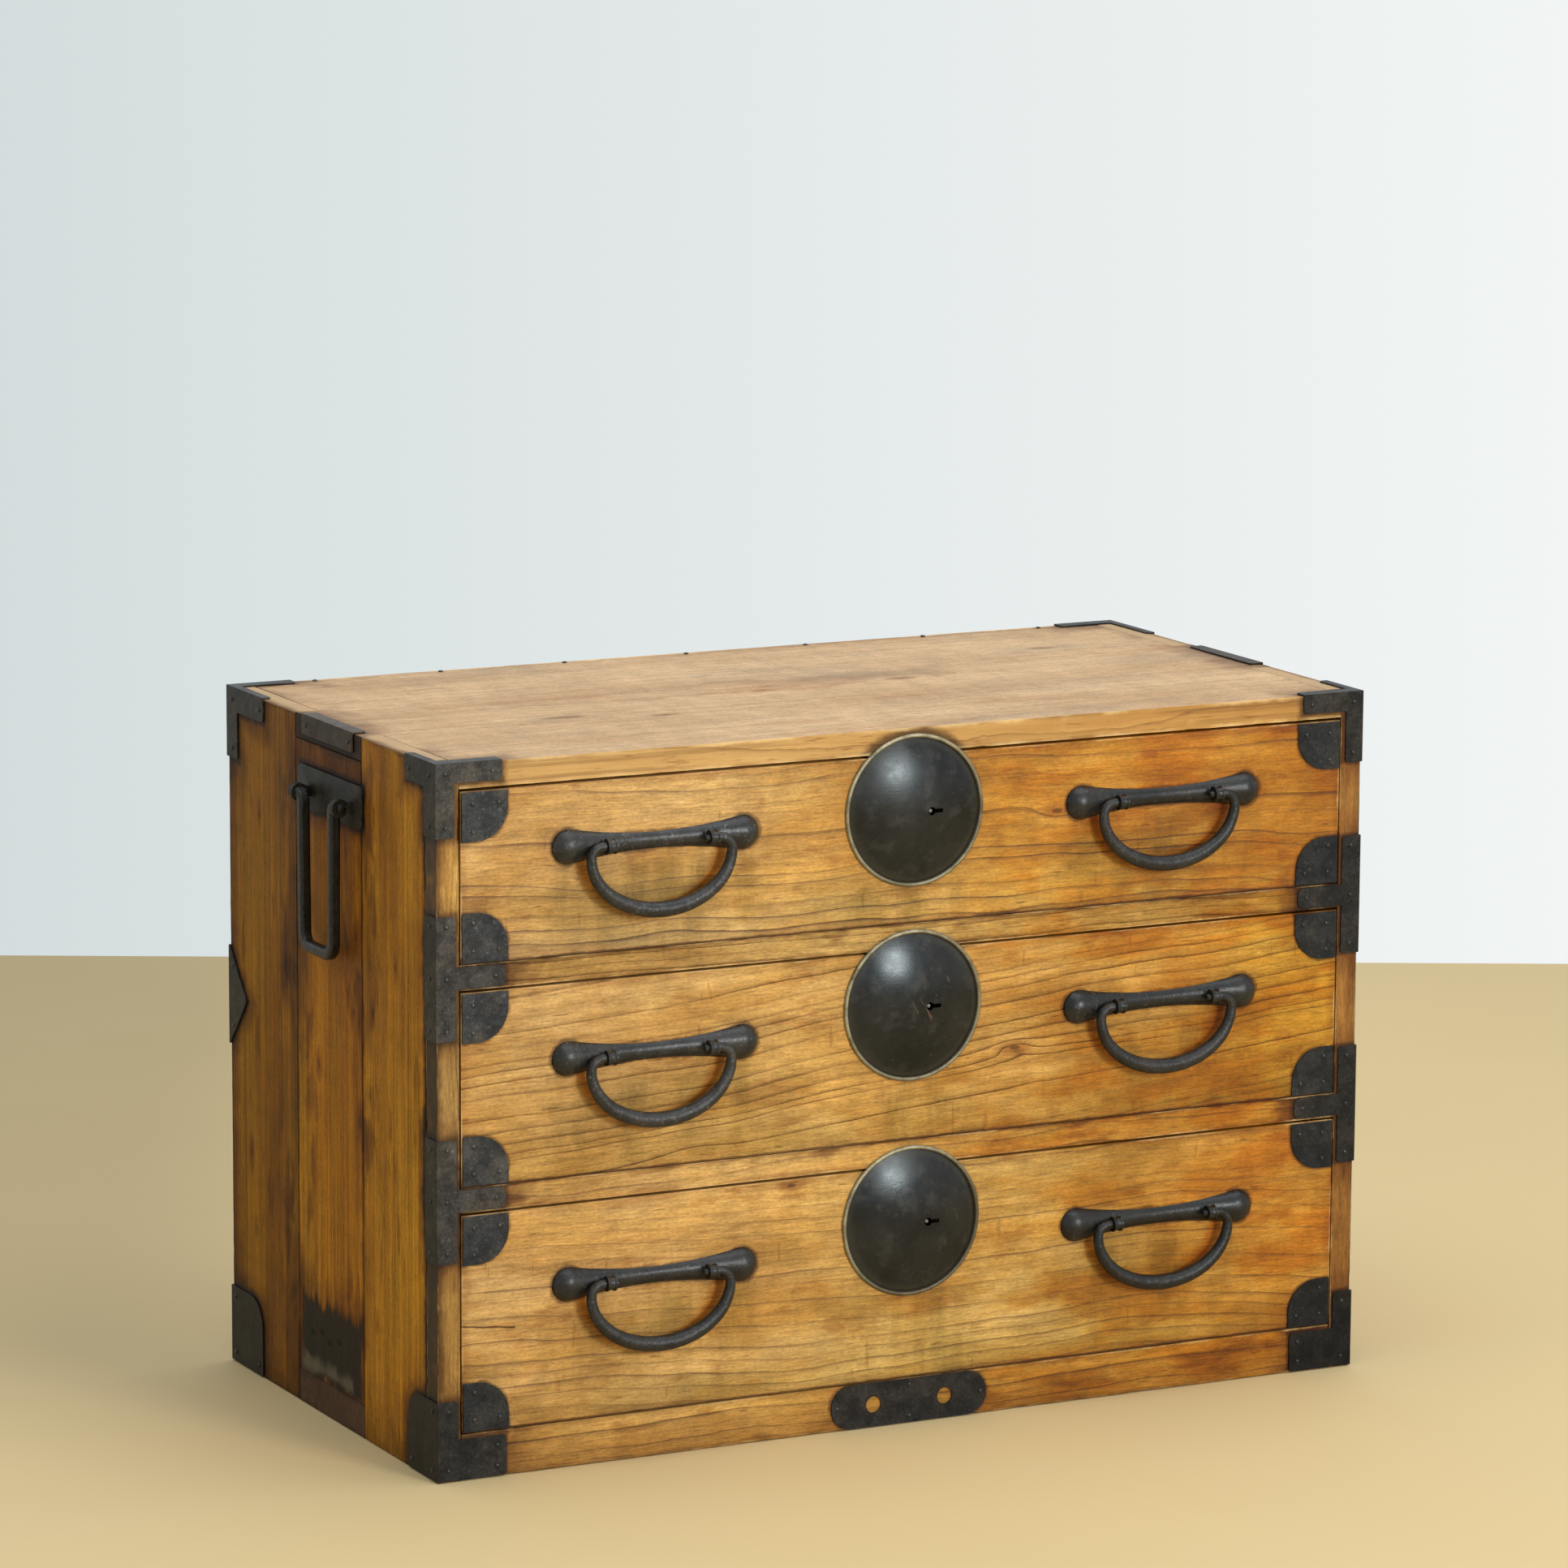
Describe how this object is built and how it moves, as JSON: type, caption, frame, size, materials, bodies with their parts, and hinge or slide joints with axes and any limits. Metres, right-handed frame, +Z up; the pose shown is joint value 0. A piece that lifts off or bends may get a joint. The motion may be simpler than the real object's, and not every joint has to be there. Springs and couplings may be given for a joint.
{
  "type": "small tansu chest",
  "caption": "Low three-drawer wooden chest with iron corner straps, domed round lock plates, hanging bail pulls and swinging side carrying handles.",
  "frame": {"origin": "middle of the base board's underside, on the floor", "axes": "+Z up, the drawers face -Y and pull out along -Y, +X to the right when facing the front"},
  "size_m": [0.899, 0.4555, 0.5912],
  "materials": {
    "front_wood": "old honey-coloured cedar, waxed, with grey-brown streaks",
    "side_wood": "deep orange-brown cedar planks with upright grain",
    "top_wood": "faded dry cedar with bluish stains",
    "inner_wood": "plain unfinished light wood",
    "black_iron": "blackened forged iron, satin",
    "dull_brass": "aged dull brass"
  },
  "bodies": {
    "carcase": {"front_stiles": "front_wood", "rail_upper": "front_wood", "rail_lower": "front_wood", "rail_bottom": "front_wood", "side_panel_left": "side_wood", "side_panel_right": "side_wood", "top_board": "top_wood", "bottom_board": "inner_wood", "back_panel": "inner_wood", "drawer_runners": "inner_wood", "corner_irons": "black_iron", "edge_irons": "black_iron", "sill_iron": "black_iron", "carcase_nails": "black_iron", "side_handle_plate_left": "black_iron", "side_handle_plate_right": "black_iron"},
    "carrying_handle_left": {"side_handle_left": "black_iron"},
    "carrying_handle_right": {"side_handle_right": "black_iron"},
    "drawer_1": {"drawer_1_front": "front_wood", "drawer_1_side_left": "inner_wood", "drawer_1_side_right": "inner_wood", "drawer_1_back": "inner_wood", "drawer_1_bottom": "inner_wood", "drawer_1_corner_irons": "black_iron", "drawer_1_nails": "black_iron", "drawer_1_handle_plates": "black_iron", "drawer_1_lock_plate": "black_iron", "drawer_1_lock_case": "black_iron", "drawer_1_lock_ring": "dull_brass"},
    "drawer_1_bail_left": {"drawer_1_handle_left": "black_iron"},
    "drawer_1_bail_right": {"drawer_1_handle_right": "black_iron"},
    "drawer_1_bolt": {"drawer_1_lock_bolt": "black_iron"},
    "drawer_2": {"drawer_2_front": "front_wood", "drawer_2_side_left": "inner_wood", "drawer_2_side_right": "inner_wood", "drawer_2_back": "inner_wood", "drawer_2_bottom": "inner_wood", "drawer_2_corner_irons": "black_iron", "drawer_2_nails": "black_iron", "drawer_2_handle_plates": "black_iron", "drawer_2_lock_plate": "black_iron", "drawer_2_lock_case": "black_iron", "drawer_2_lock_ring": "dull_brass"},
    "drawer_2_bail_left": {"drawer_2_handle_left": "black_iron"},
    "drawer_2_bail_right": {"drawer_2_handle_right": "black_iron"},
    "drawer_2_bolt": {"drawer_2_lock_bolt": "black_iron"},
    "drawer_3": {"drawer_3_front": "front_wood", "drawer_3_side_left": "inner_wood", "drawer_3_side_right": "inner_wood", "drawer_3_back": "inner_wood", "drawer_3_bottom": "inner_wood", "drawer_3_corner_irons": "black_iron", "drawer_3_nails": "black_iron", "drawer_3_handle_plates": "black_iron", "drawer_3_lock_plate": "black_iron", "drawer_3_lock_case": "black_iron", "drawer_3_lock_ring": "dull_brass"},
    "drawer_3_bail_left": {"drawer_3_handle_left": "black_iron"},
    "drawer_3_bail_right": {"drawer_3_handle_right": "black_iron"},
    "drawer_3_bolt": {"drawer_3_lock_bolt": "black_iron"}
  },
  "joints": [
    {"name": "carrying_handle_left_swing", "type": "hinge", "parent": "carcase", "child": "carrying_handle_left", "pos_m": [-0.442, -0.006, 0.529], "axis": [0, 1, 0], "range_deg": [0, 150]},
    {"name": "carrying_handle_right_swing", "type": "hinge", "parent": "carcase", "child": "carrying_handle_right", "pos_m": [0.442, -0.006, 0.529], "axis": [0, -1, 0], "range_deg": [0, 150]},
    {"name": "drawer_1_slide", "type": "slide", "parent": "carcase", "child": "drawer_1", "axis": [0, -1, 0], "range_m": [0, 0.3]},
    {"name": "drawer_1_bail_left_swing", "type": "hinge", "parent": "drawer_1", "child": "drawer_1_bail_left", "pos_m": [-0.236, -0.2294, 0.515], "axis": [-1, 0, 0], "range_deg": [0, 150]},
    {"name": "drawer_1_bail_right_swing", "type": "hinge", "parent": "drawer_1", "child": "drawer_1_bail_right", "pos_m": [0.236, -0.2294, 0.515], "axis": [-1, 0, 0], "range_deg": [0, 150]},
    {"name": "drawer_1_bolt_throw", "type": "slide", "parent": "drawer_1", "child": "drawer_1_bolt", "axis": [0, 0, 1], "range_m": [0, 0.01]},
    {"name": "drawer_2_slide", "type": "slide", "parent": "carcase", "child": "drawer_2", "axis": [0, -1, 0], "range_m": [0, 0.3]},
    {"name": "drawer_2_bail_left_swing", "type": "hinge", "parent": "drawer_2", "child": "drawer_2_bail_left", "pos_m": [-0.236, -0.2294, 0.341], "axis": [-1, 0, 0], "range_deg": [0, 150]},
    {"name": "drawer_2_bail_right_swing", "type": "hinge", "parent": "drawer_2", "child": "drawer_2_bail_right", "pos_m": [0.236, -0.2294, 0.341], "axis": [-1, 0, 0], "range_deg": [0, 150]},
    {"name": "drawer_2_bolt_throw", "type": "slide", "parent": "drawer_2", "child": "drawer_2_bolt", "axis": [0, 0, 1], "range_m": [0, 0.01]},
    {"name": "drawer_3_slide", "type": "slide", "parent": "carcase", "child": "drawer_3", "axis": [0, -1, 0], "range_m": [0, 0.3]},
    {"name": "drawer_3_bail_left_swing", "type": "hinge", "parent": "drawer_3", "child": "drawer_3_bail_left", "pos_m": [-0.236, -0.2294, 0.1535], "axis": [-1, 0, 0], "range_deg": [0, 150]},
    {"name": "drawer_3_bail_right_swing", "type": "hinge", "parent": "drawer_3", "child": "drawer_3_bail_right", "pos_m": [0.236, -0.2294, 0.1535], "axis": [-1, 0, 0], "range_deg": [0, 150]},
    {"name": "drawer_3_bolt_throw", "type": "slide", "parent": "drawer_3", "child": "drawer_3_bolt", "axis": [0, 0, 1], "range_m": [0, 0.01]}
  ]
}
